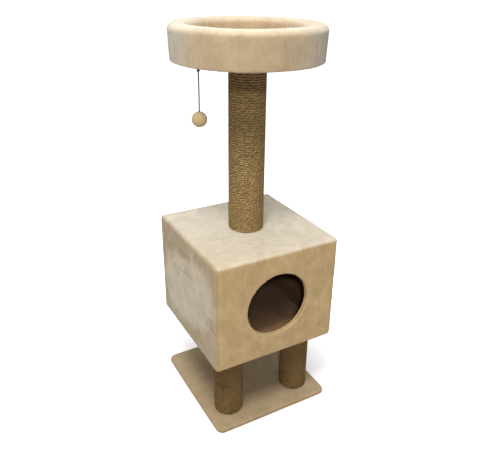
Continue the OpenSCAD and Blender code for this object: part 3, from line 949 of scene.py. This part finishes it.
# Painted sheen and painted light pale the roof fully, the left wall more and the right wall less;
# the left wall's lighter patch is the nap.
HOUSE_PLUSH = plush_finish(
    "house_plush", painted_sheen_by_side(1.0, 0.62, 0.3, fold_z - 10 * MM, house_high.x - 16 * MM),
    lighter_side, Patch_Size=0.075, Patch_Strength=0.55,
)
skin_piece("house_wrap_plush", wrap, PLUSH_SKIN, HOUSE_PLUSH, "plush", "tree", "house_wrap")
skin_piece("roof_plush_skin", roof, PLUSH_SKIN, HOUSE_PLUSH, "plush", "tree", "roof_cover")

# The floor inside is lined with brown felt.
FELT_CORNER_R, FELT_GRID = 4 * MM, 7 * MM
# Where the painted light from the entrance fades into painted shade along the floor.
FELT_LIT_FROM, FELT_LIT_TO = 0.0, -0.12
floor_low, floor_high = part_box("floor_lining")
floor_lines = (
    stops(floor_low.x, floor_high.x, FELT_CORNER_R, FELT_GRID),
    stops(floor_low.y, floor_high.y, FELT_CORNER_R, FELT_GRID),
    [floor_low.z, floor_low.z + 1 * MM, floor_low.z + 2 * MM, floor_high.z],
)
lining = round_box(floor_low, floor_high, FELT_CORNER_R, 2 * MM, 0.8 * MM, floor_lines)
ruffle(lining, 0.3 * MM, 0.3 * MM, 3.0)


def felt_finish():
    """Brown felt, flecked; paler towards the entrance as painted light falling in through it, and
    darker further in as painted shade.
    """
    made, tree, shader = new_finish(
        "floor_felt", Roughness=0.95, Specular_IOR_Level=0.1, Sheen_Weight=0.2,
    )
    place = add(tree, "ShaderNodeTexCoord").outputs["Object"]
    inward = add(tree, "ShaderNodeSeparateXYZ", {0: place}).outputs["Y"]
    stray = math_node(tree, "MULTIPLY", object_noise(tree, 20, 2), 0.1)
    inward = math_node(tree, "ADD", inward, math_node(tree, "SUBTRACT", stray, 0.05))
    # Painted light near the entrance, painted shade further in.
    entrance_light = math_node(tree, "MULTIPLY", span(tree, inward, FELT_LIT_FROM, FELT_LIT_TO), 0.7)
    flecks = math_node(tree, "MULTIPLY", span(tree, object_noise(tree, 500), 0.3, 0.7), 0.3)
    colour = shade(
        tree, math_node(tree, "ADD", entrance_light, flecks), (0.075, 0.036, 0.018), (0.5, 0.28, 0.135)
    )
    tree.links.new(colour, shader.inputs["Base Color"])
    return made


FELT = felt_finish()
as_piece("floor_lining_felt", lining, FELT, "plush", "tree", "floor_lining")
finish_nodes(
    RAW_BOARD, "house_floor", "house_front", "house_back", "house_left", "house_right",
    "house_roof",
)
finish_nodes(ZINC, "house_screws")

# Bed. A round board with a bent hardboard wall, and a foam rim rolled over the wall's top.
# One ring of plush covers the rim inside and out; a loose round pad lies on the floor.
BED_SEAM_AT = math.radians(-64)
BED_STEP = 4 * MM
BED_FOOT_R = 3.5 * MM
BED_RIM_W = 48 * MM
RIM_OUT_R = 14 * MM
RIM_IN_R = 14 * MM
RIM_CROWN = 2 * MM
BED_FLARE = 3 * MM
BED_HEM_W = 28 * MM
GATHER_W, GATHER_SHARE = 16 * MM, 0.006
BED_SEAM_W, BED_SEAM_PULL = 5 * MM, 1.3 * MM
cover_low, cover_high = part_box("bed_cover")
board_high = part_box("bed_board")[1]
rim_out = cover_high.x
rim_in = rim_out - BED_RIM_W
skirt_out = rim_out - BED_FLARE
shoulder_z = cover_high.z - RIM_CROWN


def arc(centre_r, centre_z, radius, start, end, count):
    for k in range(count + 1):
        angle = math.radians(start + (end - start) * k / count)
        yield centre_r + radius * math.cos(angle), centre_z + radius * math.sin(angle)


def line(start, end, count):
    for k in range(1, count):
        yield tuple(a + (b - a) * k / count for a, b in zip(start, end))


foot_z = cover_low.z + BED_FOOT_R
cover_section = [(skirt_out - BED_HEM_W, cover_low.z)]
cover_section += line(cover_section[0], (skirt_out - BED_FOOT_R, cover_low.z), 6)
cover_section += arc(skirt_out - BED_FOOT_R, foot_z, BED_FOOT_R, -90, 0, 4)
cover_section += line((skirt_out, foot_z), (rim_out, shoulder_z - RIM_OUT_R), 16)
cover_section += arc(rim_out - RIM_OUT_R, shoulder_z - RIM_OUT_R, RIM_OUT_R, 0, 80, 9)
cover_section += arc(rim_in + RIM_IN_R, shoulder_z - RIM_IN_R, RIM_IN_R, 100, 180, 11)
cover_section += line((rim_in, shoulder_z - RIM_IN_R), (rim_in, board_high.z), 14)
cover_section += [(rim_in, board_high.z + 0.2 * MM)]


def lathe(section, count):
    """A section of (radius, height) points, turned round the bed's middle."""
    mesh = bmesh.new()
    rings = []
    for k in range(count):
        turn = 2 * math.pi * k / count
        c, s = math.cos(turn), math.sin(turn)
        rings.append([mesh.verts.new((r * c, r * s, z)) for r, z in section])
    for here, after in zip(rings, rings[1:] + rings[:1]):
        for i in range(len(section) - 1):
            mesh.faces.new((here[i], after[i], after[i + 1], here[i + 1]))
    return mesh


bed = lathe(cover_section, round(2 * math.pi * rim_out / BED_STEP))
for v in bed.verts:
    over_rim = math.hypot(v.co.x, v.co.y) - (rim_in + BED_RIM_W / 2)
    if v.co.z > shoulder_z - RIM_OUT_R:
        v.co.z += RIM_CROWN * max(0.0, 1 - (2.4 * over_rim / BED_RIM_W) ** 2)
ruffle(bed, 0.6 * MM, 0.25 * MM, 4.0)
for v in bed.verts:
    turn = math.atan2(v.co.y, v.co.x)
    reach = math.hypot(v.co.x, v.co.y)
    if reach < rim_in + GATHER_W and v.co.z > board_high.z:
        # The plush is gathered where it is pulled down inside the smaller radius.
        gather = noise.noise(Vector((math.cos(turn), math.sin(turn), 0)) * 16)
        depth = min(1.0, (rim_in + GATHER_W - reach) / GATHER_W)
        v.co.x *= 1 + GATHER_SHARE * gather * depth
        v.co.y *= 1 + GATHER_SHARE * gather * depth
    off_seam = abs((turn - BED_SEAM_AT + math.pi) % (2 * math.pi) - math.pi) * rim_out
    if off_seam < BED_SEAM_W and v.co.z > cover_low.z + MM:
        pull = BED_SEAM_PULL * (1 - off_seam / BED_SEAM_W) ** 1.5
        heart = Vector((v.co.x, v.co.y, 0)).normalized() * (rim_in + BED_RIM_W / 2)
        towards = heart + UP * min(v.co.z, shoulder_z - RIM_IN_R) - v.co
        v.co += towards.normalized() * pull
# Painted sheen where the bed's plush is seen at a glance, and painted light on the rim's top.
BED_PLUSH = plush_finish(
    "bed_plush", painted_sheen_by_glance(0.75, 0.5), Patch_Size=0.06, Patch_Strength=0.45,
    Dark=(0.29, 0.207, 0.118, 1), Light=(0.47, 0.355, 0.23, 1),
)
skin_piece("bed_cover_plush", bed, PLUSH_SKIN, BED_PLUSH, "plush", "tree", "bed_cover")
FOAM = plain_finish("rim_foam", (0.80, 0.78, 0.68), (0.90, 0.89, 0.82), 300, Roughness=0.9)
finish_nodes(FOAM, "bed_foam")
finish_nodes(RAW_BOARD, "bed_board", "bed_wall")

# Pad. Two rounds of plush sewn together round their edge, with a thin filling: it is
# crowned in the middle and pulled in at the seam.
PAD_GAP = 1.5 * MM
PAD_CAP = 8 * MM
PAD_ROOM = 4 * MM
PAD_CLEAR = 0.3 * MM
PAD_SEAM_PULL, PAD_SEAM_W = 2.5 * MM, 8 * MM
pad_low, pad_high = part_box("bed_pad")
pad_r = pad_high.x - PAD_GAP
pad_middle = (pad_low.z + pad_high.z) / 2
pad_half = (pad_high.z - pad_low.z) / 2 - PAD_ROOM


def pad_blank():
    """The pad before it is filled: a flat round slab with a blunt edge."""
    section = [(0.0, pad_middle - pad_half)]
    section += line(section[0], (pad_r - pad_half, pad_middle - pad_half), 10)
    section += arc(pad_r - pad_half, pad_middle, pad_half, -90, 90, 6)
    section += line((pad_r - pad_half, pad_middle + pad_half), (0.0, pad_middle + pad_half), 10)
    section += [(0.0, pad_middle + pad_half)]
    mesh = lathe(section, 96)
    bmesh.ops.remove_doubles(mesh, verts=mesh.verts, dist=0.01 * MM)
    return mesh


# Painted sheen at a glance and painted light on the pad's top.
PAD_PLUSH = plush_finish("pad_plush", painted_sheen_by_glance(0.5, 0.3), Patch_Size=0.05)
pad = as_piece("bed_pad_plush", pad_blank(), PAD_PLUSH, "plush", "tree")


def fill_pad(piece):
    """Puffs the pad up like cloth under a little pressure, no further than PAD_CAP."""
    remesh = piece.modifiers.new("even", "REMESH")
    remesh.mode = "VOXEL"
    remesh.voxel_size = 5 * MM
    baked(piece)
    start = [v.co.copy() for v in piece.data.vertices]
    cloth = piece.modifiers.new("filling", "CLOTH")
    cloth.settings.use_pressure = True
    cloth.settings.uniform_pressure_force = 4
    cloth.settings.effector_weights.gravity = 0
    cloth.settings.quality = 5
    scene = bpy.context.scene
    for moment in range(1, 21):
        scene.frame_set(moment)
    baked(piece)
    scene.frame_set(1)
    for v, before in zip(piece.data.vertices, start):
        move = v.co - before
        if move.length > PAD_CAP:
            v.co = before + move.normalized() * PAD_CAP


fill_pad(pad)
# Filling draws the cloth in a little; it is pushed out again to lie against the rim.
widest = max(math.hypot(v.co.x, v.co.y) for v in pad.data.vertices)
for v in pad.data.vertices:
    v.co.x *= pad_r / widest
    v.co.y *= pad_r / widest
    reach = math.hypot(v.co.x, v.co.y)
    v.co.z = max(v.co.z, pad_low.z + PAD_CLEAR)
    pull = PAD_SEAM_PULL * max(0.0, 1 - abs(v.co.z - pad_middle) / PAD_SEAM_PULL)
    if reach > pad_r - PAD_SEAM_W:
        v.co.x -= v.co.x / reach * pull
        v.co.y -= v.co.y / reach * pull
smoother = pad.modifiers.new("smooth", "SUBSURF")
smoother.levels = smoother.render_levels = 1
baked(pad)
pad.data.shade_smooth()
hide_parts("bed_pad")

# Toy ball. A ball of filling in beige plush, sewn from two cups, with a fine fuzz of pile.
BALL_SEAM_W, BALL_SEAM_DEPTH = 1.6 * MM, 0.7 * MM
DIMPLE_W, DIMPLE_DEPTH = 4 * MM, 1.6 * MM
BALL_LUMPS = 0.6 * MM
ball_low, ball_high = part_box("toy_plush")
ball = bmesh.new()
bmesh.ops.create_icosphere(
    ball, subdivisions=6, radius=(ball_high.z - ball_low.z) / 2,
    matrix=Matrix.Translation(ball_middle),
)
ball.normal_update()
for v in ball.verts:
    local = v.co - ball_middle
    lump = noise.noise(local * 60) * 0.5 + noise.noise(local * 380) * 0.35
    seam = max(0.0, 1 - abs(local.x + 0.3 * local.y) / BALL_SEAM_W)
    dimple = max(0.0, 1 - math.hypot(local.x, local.y) / DIMPLE_W) if local.z > 0 else 0.0
    v.co += v.normal * (BALL_LUMPS * lump - BALL_SEAM_DEPTH * seam - DIMPLE_DEPTH * dimple)
# Painted sheen at a glance and a little painted light on the ball's top.
BALL_PLUSH = plush_finish(
    "ball_plush", painted_sheen_by_glance(0.5, 0.2), Patch_Size=0.02, Patch_Strength=0.4
)
as_piece("toy_ball_plush", ball, BALL_PLUSH, "toy_plush", "toy", "toy_plush")
finish_nodes(FOAM, "toy_core")
finish_nodes(BRAID, "toy_knot")
finish_nodes(ZINC, "toy_staple")

# Floor and lights. A plain pale floor that fades to white away from the tree. One softbox
# hangs over the front left, a smaller one stands further off, and a wide one hangs high
# above the tree; an even pale surround fills the shadows.
FLOOR_HALF = 40
FLOOR_DROP = 0.5 * MM
LAMPS_FACE = Vector((0, 0, 0.55))
FADE_FROM, FADE_TO = 0.1, 0.45
SURROUND_LIGHT = 0.19
floor = bmesh.new()
bmesh.ops.create_grid(floor, x_segments=1, y_segments=1, size=FLOOR_HALF)
floor_data = bpy.data.meshes.new("studio_floor")
floor.to_mesh(floor_data)
floor.free()
studio_floor = bpy.data.objects.new("studio_floor", floor_data)
studio_floor.location.z = cad_box[0].z - FLOOR_DROP
bpy.context.scene.collection.objects.link(studio_floor)
FLOOR_FINISH, floor_tree, floor_shader = new_finish("studio_floor", Roughness=0.9)
floor_shader.inputs["Base Color"].default_value = (0.82, 0.81, 0.79, 1)
floor_spot = add(floor_tree, "ShaderNodeTexCoord").outputs["Object"]
floor_reach = add(floor_tree, "ShaderNodeVectorMath", {0: floor_spot}, operation="LENGTH")
faded = span(floor_tree, floor_reach.outputs["Value"], FADE_FROM, FADE_TO)
seen = add(floor_tree, "ShaderNodeLightPath").outputs["Is Camera Ray"]
faded = math_node(floor_tree, "MULTIPLY", faded, seen)
floor_tree.links.new(
    shade(floor_tree, faded, (0, 0, 0), (1, 1, 1)), floor_shader.inputs["Emission Color"]
)
floor_shader.inputs["Emission Strength"].default_value = 1.0
floor_data.materials.append(FLOOR_FINISH)


def softbox(name, place, size, power):
    """A round area light that faces the middle of the tree."""
    lamp = bpy.data.lights.new(name, "AREA")
    lamp.shape = "DISK"
    lamp.size = size
    lamp.energy = power
    stand = bpy.data.objects.new(name, lamp)
    stand.location = place
    way = Vector(place) - LAMPS_FACE
    stand.rotation_euler = way.to_track_quat("Z", "Y").to_euler()
    bpy.context.scene.collection.objects.link(stand)


softbox("overhead_softbox", (-0.74, -0.88, 2.53), 0.7, 46)
softbox("front_softbox", (-1.56, -2.79, 2.45), 0.2, 43)
softbox("ceiling_softbox", (0.1, 0.3, 2.9), 2.6, 34)
surround = bpy.data.worlds.new("studio_surround")
surround.use_nodes = True
sky = surround.node_tree
seen = add(sky, "ShaderNodeLightPath").outputs["Is Camera Ray"]
level = (SURROUND_LIGHT,) * 3
sky.links.new(shade(sky, seen, level, (1, 1, 1)), sky.nodes["Background"].inputs["Color"])
bpy.context.scene.world = surround
